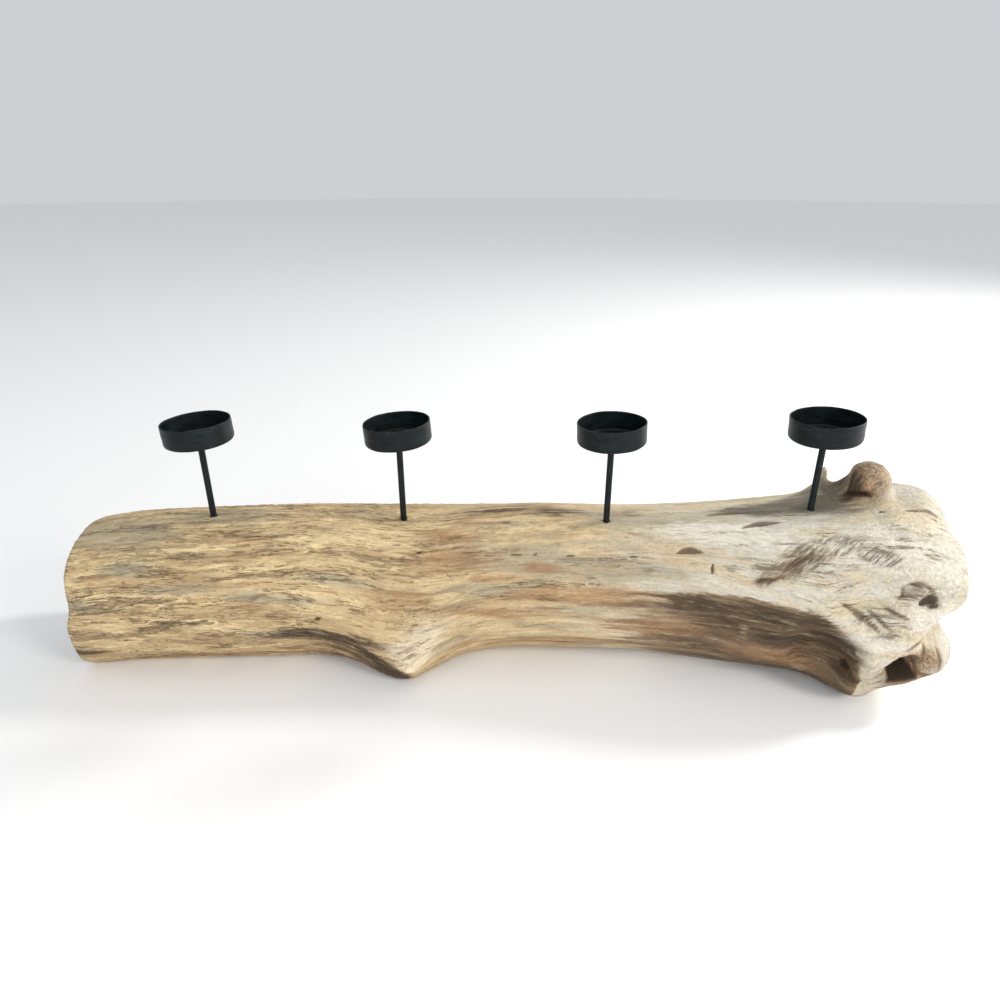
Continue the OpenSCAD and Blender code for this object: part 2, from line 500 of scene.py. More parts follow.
def flatten_end(points, plane, start, gain):
    """Turns the domed end of the log into a sawn face with a worn edge."""
    side = math.copysign(1, plane)
    over = points[:, 0] * side - start * MM
    reached = np.minimum(start * MM + over * gain, abs(plane) * MM)
    points[:, 0] = np.where(over > 0, side * reached, points[:, 0])


def make_log():
    """The CAD log's surface, carved, given its grain and drilled again."""
    log = add_object("driftwood_log", plugged_log())
    remesh(log, ROUGH_VOXEL, 12)
    join(log, [lump(*shape) for shape in LUMPS.values()])
    remesh(log, VOXEL, 2)
    mesh = log.data
    points = points_of(mesh)
    for plane, start, gain in SAWN_ENDS:
        flatten_end(points, plane, start, gain)
    for centre, reach, tilt, push, steepness in SCULPT.values():
        points += falloff(points, centre, reach, tilt, steepness)[:, None] * np.asarray(push) * MM
    for path, width, heights in RIDGES:
        points += ridge_lift(points, path, width, heights)[:, None] * np.array([0, -0.9, 0.3]) * MM
    move_points(mesh, points)
    normals = normals_of(mesh)
    for *shape, depth in GOUGES:
        points -= gouge(points, *shape)[:, None] * normals * depth * MM
    for *shape, depth, _ in HOLLOWS:
        points -= hollow(points, *shape)[:, None] * normals * depth * MM
    grain = grain_of(points)
    # Low swells and finer ribs along the grain
    lift = 0.8 * fractal(grain, (70, 14, 14), 3) + 0.4 * fractal(grain, (40, 4, 4), 3, 7.0)
    # The root end is knotty instead of grained
    lift += gnarl_of(points) * (0.9 * fractal(points / MM, (15, 15, 12), 5, 5.0) - lift)
    # Split layers of wood on the left half
    layers = fractal(grain, (60, 8, 8), 5, 3.0) * 3
    flaky = 1 - smooth_step(points[:, 0] / MM, -60, 20)
    lift += flaky * 0.9 * (np.floor(layers) + smooth_step(layers % 1, 0.0, 0.25) - layers)
    # The sawn ends are smoother
    lift *= 1 - 0.7 * smooth_step(np.abs(points[:, 0]) / MM, 240, 268)
    points = points + normals * lift[:, None] * MM
    points[:, 2] = np.maximum(points[:, 2], 0)
    move_points(mesh, points)
    drill(log)
    log.data.name = "driftwood_log"
    shade_smooth(log.data)
    return log


# ---------------------------------------------------------------- the log's colours

# Edges with dark wood below them, partly weathered stain and partly painted shade under the edge, in
# millimetres: the line's points as (x, z), and how far below the line the dark wood has faded
STAIN_AND_SHADE_EDGES = [
    ([(34, 58), (66, 62), (87, 66), (127, 68), (153, 68), (172, 67), (187, 64), (204, 56), (212, 44),
      (216, 26), (217, 4)], 90),
    ([(-170, 28), (-127, 38), (-104, 36), (-86, 31), (-76, 25), (-56, 12)], 60),
]
# How far along its line the dark wood takes to set in, in millimetres
STAIN_AND_SHADE_START = 124
# Patches of colour in millimetres: centre, reach along x, y and z, tilt seen from the front. The 'shade'
# patches are a painted shadow of the knob round stem 4's base. Some 'dark' patches are painted shade under
# the branch stub, under the buttress ridge and on the knob's left flank. The two pale patches on the stub
# are a painted highlight
STAINS = {
    "dark": [
        # Painted shade: the four patches under the branch stub, the six under the buttress ridge, and the
        # one at (218, 0, 122) on the knob's left flank. The rest are dark stains
        ((-104, -46, 31), (34, 18, 6), -4), ((-80, -54, 20), (22, 16, 6), -38),
        ((-128, -44, 34), (24, 16, 4), 0), ((-66, -56, 9), (18, 14, 6), -20),
        ((134, -46, 60), (34, 14, 7), -3), ((168, -50, 55), (34, 16, 9), -12),
        ((196, -55, 44), (22, 16, 11), -38), ((208, -60, 32), (8, 14, 14), 4),
        ((186, -46, 8), (50, 20, 7), -8), ((174, -44, 36), (24, 16, 6), -14),
        ((-120, 52, 46), (44, 14, 4), 0), ((60, 50, 36), (50, 14, 5), 0), ((150, 52, 70), (30, 14, 4), 0),
        ((-10, 10, 98), (60, 8, 4), 0), ((-6, -6, 97), (30, 4, 3), 0), ((70, 4, 99), (22, 5, 3), 0),
        ((218, 0, 122), (8, 14, 11), 10), ((-266, -44, 20), (12, 20, 4), 0),
        ((-176, -24, 82), (22, 10, 2), 0),
    ],
    "bleach_and_highlight": [
        # The two patches on the branch stub are a painted highlight on its lit flank; the rest are bleached
        # wood
        ((-48, -52, 31), (24, 18, 13), 20), ((-54, -56, 20), (12, 14, 9), 0),
        ((232, -34, 96), (44, 26, 12), 0), ((256, -50, 62), (22, 16, 14), 0),
        ((228, -58, 48), (26, 14, 6), -10), ((150, -20, 96), (70, 20, 6), 0),
        ((264, -34, 88), (22, 24, 22), 0),
    ],
    "worn": [
        ((152, -47, 42), (4, 12, 4.5), 10), ((-20, -40, 42), (34, 14, 6), -8),
        ((-96, -18, 90), (34, 12, 5), 0), ((10, -40, 34), (40, 14, 5), -4),
        ((-180, -50, 40), (30, 12, 4), 0),
    ],
    "knotty": [
        ((226, 2, 125), (18, 20, 17), 0), ((246, -56, 22), (26, 18, 12), 0),
        ((252, -58, 34), (14, 14, 8), 0),
    ],
    "shade": [
        # A painted shadow: the knob's shadow falling round stem 4's base
        ((196, 2, 109), (24, 14, 10), 0), ((176, 0, 106), (30, 9, 5), 0), ((212, 8, 112), (9, 14, 10), 0),
        ((160, 2, 103), (26, 6, 3), 0),
    ],
    "rust": [
        ((-31, -28, 78), (44, 18, 10), 4), ((-36, -18, 90), (34, 14, 5), 0),
        ((-24, -8, 96), (34, 12, 5), 0), ((24, -30, 76), (20, 12, 3), 0),
        ((-10, -30, 70), (30, 12, 4), 0), ((66, -38, 58), (40, 14, 4), 4),
        ((-60, -40, 56), (36, 16, 10), -8), ((50, -36, 62), (56, 16, 6), 2),
        ((0, -40, 48), (60, 16, 6), 0), ((30, -36, 22), (80, 18, 8), 0),
        ((178, -44, 22), (40, 20, 12), -14), ((100, -36, 40), (50, 18, 10), 0),
        ((-66, -54, 12), (20, 16, 8), -20), ((-170, -40, 12), (90, 18, 7), 0),
        ((244, -60, 20), (16, 14, 6), 10), ((226, -3, 122), (8, 12, 8), 0),
        ((-250, -48, 70), (20, 14, 4), 0), ((-40, 50, 60), (60, 16, 8), 0),
        ((100, 52, 50), (50, 16, 7), 0),
    ],
    "grey": [
        ((-240, -20, 90), (44, 26, 9), 0), ((-232, -44, 76), (22, 16, 6), 0),
        ((-190, -4, 98), (70, 16, 6), 0), ((-200, -50, 66), (26, 12, 4), 2),
        ((-262, -54, 56), (14, 12, 4), 2), ((-140, -46, 60), (40, 14, 4), -4),
        ((-100, -44, 70), (26, 14, 5), -6), ((16, -26, 80), (60, 18, 10), 0),
        ((-10, -38, 64), (30, 14, 5), 0), ((110, -10, 98), (80, 18, 8), 0),
        ((80, -32, 76), (50, 16, 7), 0), ((-70, 4, 97), (60, 12, 4), 0), ((60, -38, 50), (50, 14, 5), 0),
        # The patch at (176, 0, 106) is a painted shadow of the knob round stem 4's base
        ((-130, -46, 34), (40, 14, 5), 0), ((176, 0, 106), (34, 12, 6), 0),
        ((-180, 50, 60), (50, 14, 8), 0), ((20, 48, 72), (60, 14, 7), 0), ((-60, 52, 24), (60, 14, 8), 0),
    ],
    "wrinkled": [
        ((186, -34, 90), (26, 14, 8), -20), ((166, -40, 81), (18, 12, 5), -30),
        ((218, -28, 100), (44, 16, 4), 0), ((236, -34, 98), (34, 14, 5), -6),
        ((222, -54, 60), (26, 16, 9), -24), ((246, -50, 75), (16, 14, 8), 0),
        ((228, 0, 126), (16, 14, 14), 0), ((240, -60, 26), (24, 14, 16), 0),
        ((255, -20, 108), (20, 20, 8), 0),
    ],
    "ruffle": [
        ((183, -36, 90), (18, 14, 7), 24), ((166, -40, 82), (14, 12, 4), 30),
        ((200, -32, 96), (15, 11, 4), 10), ((224, -38, 94), (13, 11, 4), -10),
    ],
}


def stain_and_shade_below(points, edge, depth, ragged):
    """Dark stain and painted shade under an edge: 1 just below an edge on the front of the log and less at
    that depth. The points are in metres, the rest in millimetres."""
    x, z = points[:, 0] / MM, points[:, 2] / MM
    edge_x, edge_z = np.array(edge).T
    below = np.interp(x, edge_x, edge_z) + ragged - z
    starts = smooth_step(x + 6 * ragged, edge_x[0], edge_x[0] + STAIN_AND_SHADE_START)
    ends = 1 - smooth_step(x, edge_x[-1] - 2, edge_x[-1])
    front = points[:, 1] < -20 * MM
    fading = 1 - 0.35 * smooth_step(below, 0.4 * depth, depth)
    return smooth_step(below, -1, 3) * fading * starts * ends * front


def ruffle_of(points):
    """Coordinates in millimetres on the log unrolled flat, turned to run along the ruffle's strokes."""
    round_log = LOG_RADIUS * np.radians(angle_of(points))
    unrolled = np.column_stack([points[:, 0] / MM, round_log, np.zeros(len(points))])
    return unrolled @ np.array(Matrix.Rotation(math.radians(RUFFLE_TILT), 3, "Z"))


def paint_log(mesh):
    """Stores, at each point of the log, the coordinates and the masks that its material reads."""
    points = points_of(mesh)
    grain = grain_of(points)
    store(mesh, "grain", grain)
    ragged = fractal(grain, (45, 7, 7), 4, 3.0)
    for name, patches in STAINS.items():
        cover = np.max([falloff(points, *patch) for patch in patches], axis=0)
        store(mesh, name, np.clip(cover * 1.15 + 0.18 * ragged * (cover > 0.02), 0, 1))
    # Hollows and gouges painted darker: painted shade in the recesses
    pits = [hollow(points, *shape) * dark for *shape, _, dark in HOLLOWS]
    pits += [gouge(points, *shape) * GOUGE_DARKNESS for *shape, _ in GOUGES]
    store(mesh, "pit", np.max(pits, axis=0))
    store(mesh, "ruffled", ruffle_of(points))
    stained_and_shaded = [stain_and_shade_below(points, edge, depth, 3 * ragged) for edge, depth in STAIN_AND_SHADE_EDGES]
    store(mesh, "stain_and_shade_below", np.max(stained_and_shaded, axis=0))
    along = points[:, 0] / MM
    store(mesh, "flaky", 1 - smooth_step(along + 40 * ragged, -95, 20))
    store(mesh, "pale", smooth_step(along + 40 * ragged, 20, 150))
    store(mesh, "gnarled", gnarl_of(points))
    middle_y, middle_z, radius = axis_of(points)
    store(mesh, "depth", np.hypot(points[:, 1] - middle_y, points[:, 2] - middle_z) / radius)
    facing = np.abs(normals_of(mesh)[:, 0])
    store(mesh, "end_grain", smooth_step(np.abs(along), 264, 270) * smooth_step(facing, 0.6, 0.85))


class Wood(Shader):
    """The driftwood's material, with the masks, the coordinates and the noises that its colours share."""

    def __init__(self, name):
        super().__init__(name)
        painted = (*STAINS, "stain_and_shade_below", "pit", "flaky", "pale", "gnarled", "end_grain", "depth")
        self.masks = {mask: self.attribute(mask) for mask in painted}
        self.grain = self.wavy(self.attribute("grain", "Vector"))
        self.spot = self.place()
        self.curled = self.noise(self.spot, 0.5, 6, 0.74)
        self.fibre = self.unless_gnarled(self.grained(0.12, 0.95, (0, 0, 0), 5, 0.72), self.curled)
        self.hair = self.unless_gnarled(self.grained(0.035, 1.6, (4, 2, 7), 3, 0.6), self.curled)
        self.streak = self.grained(0.02, 0.26, (6, 1, 3), 6, 0.68)
        self.blotch = self.grained(0.016, 0.07, (5, 2, 8), 6, 0.62)
        self.cloud = self.grained(0.024, 0.09, (1, 9, 4), 6, 0.62)
        lumpy = self.noise(self.spot, 0.12, 5, 0.7)
        self.mottle = self.unless_gnarled(self.grained(0.06, 0.22, (3, 5, 1), 5, 0.7), lumpy)
        self.grit = self.grained(0.5, 0.8, (2, 6, 4), 4, 0.75)
        unlined = self.larger(self.times(self.masks["pale"], 0.5), self.times(self.masks["gnarled"], 0.75))
        self.straight = self.minus(1.0, unlined)

    def wavy(self, grain):
        """The grain's coordinates, wandering across the log by a few millimetres."""
        sockets = {"Vector": self.stretch(grain, (0.012, 0.03, 0.03)), "Scale": 1.0, "Detail": 2.0}
        wander = self.node("ShaderNodeTexNoise", sockets).outputs["Color"]
        wander = self.vector("SUBTRACT", wander, (0.5, 0.5, 0.5))
        return self.vector("ADD", grain, self.vector("MULTIPLY", wander, (0, 10, 10)))

    def unless_gnarled(self, grained, curled):
        return self.fade(self.masks["gnarled"], grained, curled)

    def grained(self, along, across, offset, detail=5, roughness=0.62):
        """Noise in streaks along the grain, with so many features to the millimetre each way."""
        return self.noise(self.stretch(self.grain, (along, across, across), offset), 1.0, detail, roughness)

    def patchy(self, mask, low, high, loose=1.6, fine=0.9):
        """A mask whose edge is broken up into streaks."""
        loose = self.times(self.minus(self.streak, 0.5), loose)
        fine = self.times(self.minus(self.fibre, 0.5), fine)
        broken = self.plus(mask, self.plus(loose, fine))
        return self.times(self.step(broken, low, high), self.step(mask, 0.02, 0.2))


# Stains laid before the wood under the edges is darkened with stain and painted shade, and after it: the
# mask, how its edge is broken up (low, high, loose streaks, fine streaks), how much of the colour shows,
# and the colour. The 'shade' stain is a painted shadow, and the 'dark' stains are partly painted shade
EARLY_STAINS = [
    ("grey", (0.3, 0.9, 1.6, 0.9), 0.65, GREEN_GREY),
    ("rust", (0.3, 1.0, 1.2, 0.6), 0.35, TAN),
    ("rust", (0.62, 0.95, 2.6, 1.6), 0.6, RUST),
    ("ruffle", (0.1, 0.9, 1.2, 0.8), 0.42, GREY_BROWN),
    # A painted shadow of the knob round stem 4's base
    ("shade", (0.05, 0.7, 0.8, 0.5), 0.85, SHADE_GREY),
]
LATE_STAINS = [
    ("worn", (0.35, 0.95, 2.0, 1.4), 0.6, CREAM),
    # Dark stains, plus painted shade under the stub, under the buttress ridge and on the knob's left flank
    ("dark", (0.15, 0.75, 2.2, 1.2), 0.65, DEEP_BROWN),
    ("dark", (0.45, 1.0, 3.2, 1.8), 0.85, UMBER),
]
# Three sets of flakes: which stretch of noise shapes each, and the level above which the wood has split off
FLAKES = [((3, 3, 3), 0.56), ((12, 7, 1), 0.60), ((2, 15, 9), 0.62)]


def flakes(wood, offset, level):
    """Patches where the outer wood has split off: what the patch covers, its dark edge (a painted shadow
    under the split layer's edge), and its inside.
    """
    layer = wood.grained(0.015, 0.13, offset, 7, 0.62)
    inside = wood.step(layer, level, level + 0.006)
    fading = wood.minus(1.0, wood.step(layer, level + 0.01, level + 0.2))
    rim = wood.step(wood.math("ABSOLUTE", wood.minus(layer, level)), 0.014, 0.0)
    broken = wood.step(wood.grained(0.03, 0.16, offset, 4), 0.47, 0.58)
    return wood.times(inside, fading), wood.times(rim, broken), inside


def plates(wood):
    """Layers of the outer wood: their heights, a shade for each, and their dark edges, a painted shadow
    under each layer's edge.
    """
    steps = wood.times(wood.grained(0.018, 0.12, (8, 1, 6), 7, 0.62), 10.0)
    plate = wood.math("FLOOR", steps)
    shade = wood.node("ShaderNodeTexWhiteNoise", {"W": plate}, noise_dimensions="1D").outputs["Value"]
    broken = wood.step(wood.grained(0.025, 0.12, (5, 5, 2), 4), 0.45, 0.6)
    return plate, shade, wood.times(wood.step(wood.math("FRACT", steps), 0.2, 0.02), broken)


def dark_lines(wood, edges):
    """The edges of flakes and plates (painted shadow under the split layers), long thin cracks along the
    grain, and short strokes where the root end is wrinkled, both along the grain and aslant to it."""
    masks = wood.masks
    check = wood.math("ABSOLUTE", wood.minus(wood.grained(0.014, 0.28, (4, 6, 1), 5, 0.62), 0.5))
    broken = wood.step(wood.grained(0.02, 0.09, (9, 9, 2), 3), 0.49, 0.60)
    check = wood.times(wood.step(check, 0.014, 0.0), broken)
    check = wood.times(check, wood.minus(1.0, wood.times(masks["gnarled"], 0.8)))
    strokes = wood.step(wood.grained(0.04, 0.42, (2, 8, 6), 5, 0.65), 0.535, 0.61)
    strokes = wood.times(strokes, wood.step(masks["wrinkled"], 0.2, 0.8))
    aslant = wood.stretch(wood.attribute("ruffled", "Vector"), (0.09, 0.5, 0.5), (7, 3, 4))
    aslant = wood.step(wood.noise(aslant, 1.0, 5, 0.72, 0.7), 0.44, 0.60)
    aslant = wood.times(aslant, wood.step(masks["ruffle"], 0.1, 0.55))
    lines = wood.larger(wood.times(edges, masks["flaky"]), check)
    return wood.larger(lines, wood.larger(strokes, aslant))


def zone_colours(wood, shade, patches):
    """Straw-coloured flaky wood on the left, cream in the middle, and pale grey at the root end."""
    left = wood.mix(wood.step(shade, 0.2, 0.8), STRAW, SAND)
    left = wood.cover(left, wood.step(wood.blotch, 0.42, 0.62), 0.35, TAN)
    for patch, share, over in zip(patches, (0.55, 0.6, 0.8), (TAN, GREY_BROWN, GREY_BROWN)):
        left = wood.cover(left, patch, share, over)
    middle = wood.mix(wood.step(wood.blotch, 0.40, 0.65), CREAM, SAND)
    middle = wood.cover(middle, wood.step(wood.cloud, 0.46, 0.62), 0.6, GREEN_GREY)
    middle = wood.cover(middle, wood.step(wood.mottle, 0.50, 0.62), 0.55, TAN)
    right = wood.mix(wood.step(wood.blotch, 0.40, 0.62), PALE, BONE)
    right = wood.cover(right, wood.step(wood.cloud, 0.50, 0.66), 0.45, GREEN_GREY)
    right = wood.cover(right, wood.step(wood.mottle, 0.50, 0.62), 0.4, SAND)
    return wood.mix(wood.masks["flaky"], wood.mix(wood.masks["pale"], middle, right), left)


def stained(wood, colour):
    """The colour with its stains and painted shadow, the knotty wood, the dark wood under the edges (stain
    and painted shade), and the bleached wood with a painted highlight on the branch stub.
    """
    masks = wood.masks
    for name, broken, share, over in EARLY_STAINS:
        colour = wood.cover(colour, wood.patchy(masks[name], *broken), share, over)
    knots = wood.mix(wood.step(wood.curled, 0.42, 0.58), LINE_BROWN, TAN)
    knotty = wood.step(wood.plus(masks["knotty"], wood.times(wood.curled, 0.8)), 0.6, 1.25)
    colour = wood.cover(colour, knotty, 0.8, knots)
    # Dark stain and painted shade below the edges of the branch stub and the buttress ridge
    stained_and_shaded = masks["stain_and_shade_below"]
    colour = wood.cover(colour, wood.patchy(stained_and_shaded, 0.02, 0.55, 1.2, 0.6), 0.7, TAN)
    darkened = wood.mix(wood.step(wood.blotch, 0.38, 0.6), DEEP_BROWN, EARTH)
    colour = wood.cover(colour, wood.patchy(stained_and_shaded, 0.1, 1.0, 1.8, 1.1), 0.92, darkened)
    rusty = wood.times(wood.patchy(masks["rust"], 0.6, 1.1, 3.0, 1.4), stained_and_shaded)
    colour = wood.cover(colour, rusty, 0.45, RUST)
    colour = wood.cover(colour, wood.times(wood.step(wood.streak, 0.5, 0.64), stained_and_shaded), 0.55, UMBER)
    for name, broken, share, over in LATE_STAINS:
        colour = wood.cover(colour, wood.patchy(masks[name], *broken), share, over)
    # Bleached wood, and a painted highlight on the branch stub's lit flank
    bleach_and_highlight_colour = wood.mix(masks["pale"], CHALK, ASH)
    return wood.cover(colour, wood.patchy(masks["bleach_and_highlight"], 0.2, 0.9, 1.2, 0.8), 0.8, bleach_and_highlight_colour)


def marked(wood, colour, lines):
    """The colour with its streaks, flecks and dark lines, with painted shadow under the flakes' edges and
    painted shade in the pits.
    """
    masks = wood.masks
    streaks = wood.times(wood.step(wood.streak, 0.54, 0.66), wood.straight)
    colour = wood.cover(colour, streaks, 0.35, GREY_BROWN)
    # Short flecks of darker and lighter wood, fewer where the wood is pale
    share = wood.fade(masks["pale"], 0.45, 0.25)
    dark_flecks = wood.step(wood.grained(0.07, 0.36, (7, 7, 3), 4, 0.7), 0.56, 0.66)
    pale_flecks = wood.step(wood.grained(0.06, 0.3, (1, 3, 9), 4, 0.7), 0.56, 0.68)
    colour = wood.cover(colour, dark_flecks, share, EARTH)
    colour = wood.cover(colour, pale_flecks, share, BONE)
    # The dark lines: painted shadow under the edges of flakes and plates, plus dark cracks and strokes
    colour = wood.cover(colour, lines, 0.75, LINE_BROWN)
    # Painted shade in the hollows and gouges, darkest in the crevice colour
    colour = wood.cover(colour, wood.patchy(masks["pit"], 0.05, 0.4, 0.6, 0.4), 0.75, LINE_BROWN)
    return wood.mix(wood.step(masks["pit"], 0.3, 0.95), colour, CREVICE_SHADE)


def shaded_fibres(wood, colour):
    """The colour made lighter and darker along its fibres, without a change of hue."""
    bright = wood.times(wood.minus(wood.fibre, 0.5), 0.75)
    for pattern, share in ((wood.hair, 0.45), (wood.mottle, 0.5), (wood.grit, 0.7)):
        bright = wood.plus(bright, wood.times(wood.minus(pattern, 0.5), share))
    bright = wood.plus(1.0, bright)
    return wood.node("ShaderNodeHueSaturation", {"Color": colour, "Value": bright}).outputs[0]


def sawn_colour(wood):
    """Growth rings weathered grey, with cracks running in from the edge."""
    depth = wood.masks["depth"]
    rings = wood.plus(wood.times(depth, 46.0), wood.times(wood.noise(wood.spot, 0.02, 3, 0.5), 16.0))
    rings = wood.step(wood.math("PINGPONG", rings, 1.0), 0.1, 0.95)
    sawn = wood.mix(wood.times(rings, 0.6), TAN, EARTH)
    sawn = wood.cover(sawn, wood.step(wood.noise(wood.spot, 0.05, 5, 0.65), 0.38, 0.58), 0.75, GREEN_GREY)
    sawn = wood.cover(sawn, wood.step(wood.curled, 0.48, 0.66), 0.45, GREY_BROWN)
    crack = wood.step(wood.grained(0.0, 0.16, (3, 3, 8), 4, 0.7), 0.60, 0.63)
    return wood.cover(sawn, wood.times(crack, wood.step(depth, 0.3, 0.8)), 0.9, UMBER)


def relief(wood, split, plate, lines):
    """The height of the fine relief: flakes, fibres, grit, streaks, plates, curls and cracks."""
    flaky = wood.masks["flaky"]
    height = wood.times(wood.times(split, -0.4), flaky)
    fine = wood.plus(wood.times(wood.fibre, wood.straight), wood.times(wood.grit, 0.6))
    height = wood.plus(height, wood.times(fine, 0.6))
    height = wood.plus(height, wood.times(wood.times(wood.streak, wood.straight), 0.7))
    height = wood.plus(height, wood.times(wood.times(plate, 0.12), flaky))
    height = wood.plus(height, wood.times(wood.times(wood.curled, wood.masks["gnarled"]), 1.2))
    return wood.minus(height, wood.times(lines, 0.5))


def wood_material():
    wood = Wood("driftwood")
    patches, rims, insides = zip(*[flakes(wood, offset, level) for offset, level in FLAKES])
    plate, shade, plate_edge = plates(wood)
    # The dark edges of the flakes and plates: painted shadow under the split layers
    edges = wood.larger(wood.larger(wood.larger(rims[0], rims[1]), rims[2]), plate_edge)
    lines = dark_lines(wood, edges)
    colour = stained(wood, zone_colours(wood, shade, patches))
    colour = shaded_fibres(wood, marked(wood, colour, lines))
    colour = wood.mix(wood.masks["end_grain"], colour, sawn_colour(wood))
    wood.put(wood.surface.inputs["Base Color"], colour)
    wood.put(wood.surface.inputs["Roughness"], wood.plus(0.62, wood.times(wood.fibre, 0.3)))
    wood.surface.inputs["Specular IOR Level"].default_value = 0.3
    split = wood.plus(wood.plus(insides[0], insides[1]), insides[2])
    wood.put(wood.surface.inputs["Normal"], wood.bump(relief(wood, split, plate, lines), 1 * MM, 0.8))
    return wood.material


log = make_log()
paint_log(log.data)
log.data.materials.clear()
log.data.materials.append(wood_material())
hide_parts("log")
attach(log, "log")

# ---------------------------------------------------------------- the cups, stems and welds

# Faces round each turned piece, along each straight stretch of a cup and of a stem, and round a bend
SEGMENTS = 128
CUP_STEPS = 12
STEM_STEPS = 60
ARC_STEPS = 8
# Sizes in millimetres
CUP_WALL = 0.8
CUP_BEND = 2.4
WELD_HEIGHT = 1.2
# How far out of square each cup was welded, in degrees
CUP_LEAN = {1: 2.9, 2: 3.9, 3: 2.8, 4: 3.1}


def line(start, end, steps):
    """Points along a straight stretch of a profile, both ends included."""
    return [tuple(p) for p in np.linspace(start, end, steps + 1)]


def arc(centre, radius, start, end):
    """Points along an arc, from one angle to another in degrees: 0 points outwards and 90 up."""
    turns = np.radians(np.linspace(start, end, ARC_STEPS + 1))
    return [(centre[0] + radius * math.cos(turn), centre[1] + radius * math.sin(turn)) for turn in turns]


def turned(name, profile):
    """A mesh turned from points of (radius, height) in millimetres."""
    bm = bmesh.new()
    rings = []
    for radius, height in profile:
        turns = [2 * math.pi * k / SEGMENTS for k in range(SEGMENTS if radius > 0 else 1)]
        corners = [Vector((radius * math.cos(turn), radius * math.sin(turn), height)) for turn in turns]
        rings.append([bm.verts.new(corner * MM) for corner in corners])
    for low, high in zip(rings[:-1], rings[1:]):
        for k in range(SEGMENTS):
            bottom = [low[k % len(low)], low[(k + 1) % len(low)]]
            top = [high[(k + 1) % len(high)], high[k % len(high)]]
            # A ring on the axis is a single corner, so the repeats are dropped
            bm.faces.new(list(dict.fromkeys(bottom + top)))
    bmesh.ops.remove_doubles(bm, verts=bm.verts, dist=TURNED_MERGE)
    bmesh.ops.recalc_face_normals(bm, faces=bm.faces)
    mesh = bpy.data.meshes.new(name)
    bm.to_mesh(mesh)
    bm.free()
    shade_smooth(mesh)
    return mesh


def roughen(mesh, size, depth, seed):
    """Moves the surface in and out a little, in millimetres, as hand work leaves it."""
    points = points_of(mesh)
    lift = fractal(points / MM, size, 3, seed)[:, None] * depth * MM
    move_points(mesh, points + normals_of(mesh) * lift)


def cup_profile(radius, height):
    """The cup's wall: underside, bend, outer wall, rounded rim, inner wall and floor."""
    bend_at = radius - CUP_BEND
    rim = CUP_WALL / 2
    return [
        *line((0, 0), (bend_at, 0), CUP_STEPS),
        *arc((bend_at, CUP_BEND), CUP_BEND, -90, 0),
        *line((radius, CUP_BEND), (radius, height - rim), CUP_STEPS),
        *arc((radius - rim, height - rim), rim, 0, 180),
        *line((radius - CUP_WALL, height - rim), (radius - CUP_WALL, CUP_BEND), CUP_STEPS),
        *arc((bend_at, CUP_BEND), CUP_BEND - CUP_WALL, 0, -90),
        *line((bend_at, CUP_WALL), (0, CUP_WALL), CUP_STEPS),
    ]


def on_stem(low, high):
    """Moves a turned piece from the origin to where its CAD box stands."""
    return Matrix.Translation(((low.x + high.x) / 2, (low.y + high.y) / 2, low.z))


def make_cup(i):
    low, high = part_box(f"cup_{i}")
    radius, height = (high.x - low.x) / 2 / MM, (high.z - low.z) / MM
    mesh = turned(f"cup_wall_{i}", cup_profile(radius, height))
    points = points_of(mesh)
    turn = np.arctan2(points[:, 1], points[:, 0])
    share = points[:, 2] / MM / height
    # A pressed cup is a little out of round and its rim a little uneven
    points[:, :2] *= (1 + 0.004 * share * np.cos(2 * turn + 1.7 * i))[:, None]
    points[:, 2] += 0.12 * MM * share * np.cos(3 * turn + 2.3 * i)
    move_points(mesh, points)
    roughen(mesh, (9, 9, 6), 0.12, i)
    points = points_of(mesh)
    store(mesh, "rim", smooth_step(points[:, 2] / MM, height - 0.9, height - 0.2))
    mesh.transform(on_stem(low, high) @ Matrix.Rotation(math.radians(-CUP_LEAN[i]), 4, "Y"))
    return mesh


def make_stem(i):
    low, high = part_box(f"stem_{i}")
    radius, length = (high.x - low.x) / 2 / MM, (high.z - low.z) / MM
    profile = [(0, 0), (radius - 0.5, 0), *line((radius, 0.6), (radius, length), STEM_STEPS), (0, length)]
    mesh = turned(f"stem_rod_{i}", profile)
    roughen(mesh, (3, 3, 14), 0.05, 20 + i)
    store(mesh, "rim", 1 - smooth_step(points_of(mesh)[:, 2] / MM, 0, 40))
    mesh.transform(on_stem(low, high))
    return mesh


def make_weld(i):
    low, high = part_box(f"weld_{i}")
    stem_low, stem_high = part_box(f"stem_{i}")
    radius, inner = (high.x - low.x) / 2 / MM, (stem_high.x - stem_low.x) / 2 / MM
    middle = (radius + inner) / 2
    profile = [
        (inner, 0), (inner + 0.25, 0.02), (middle, 0.3), (middle + 0.4, 0.6), (radius - 0.1, 0.95),
        (radius, WELD_HEIGHT + 0.15), (middle, WELD_HEIGHT + 0.2), (inner, WELD_HEIGHT + 0.1), (inner, 0),
    ]
    mesh = turned(f"weld_bead_{i}", profile)
    points = points_of(mesh)
    turn = np.arctan2(points[:, 1], points[:, 0])
    # The overlapping drops of a bead laid round the stem
    drops = 0.12 * np.abs(np.sin(5.5 * turn + i)) + 0.05 * np.cos(2 * turn + i)
    outer = np.clip((np.hypot(points[:, 0], points[:, 1]) / MM - inner) / (radius - inner), 0, 1)
    points[:, :2] *= (1 + (drops - 0.1) * outer)[:, None]
    move_points(mesh, points)
    roughen(mesh, (1.2, 1.2, 1.2), 0.08, 40 + i)
    store(mesh, "rim", outer)
    mesh.transform(on_stem(low, high))
    return mesh


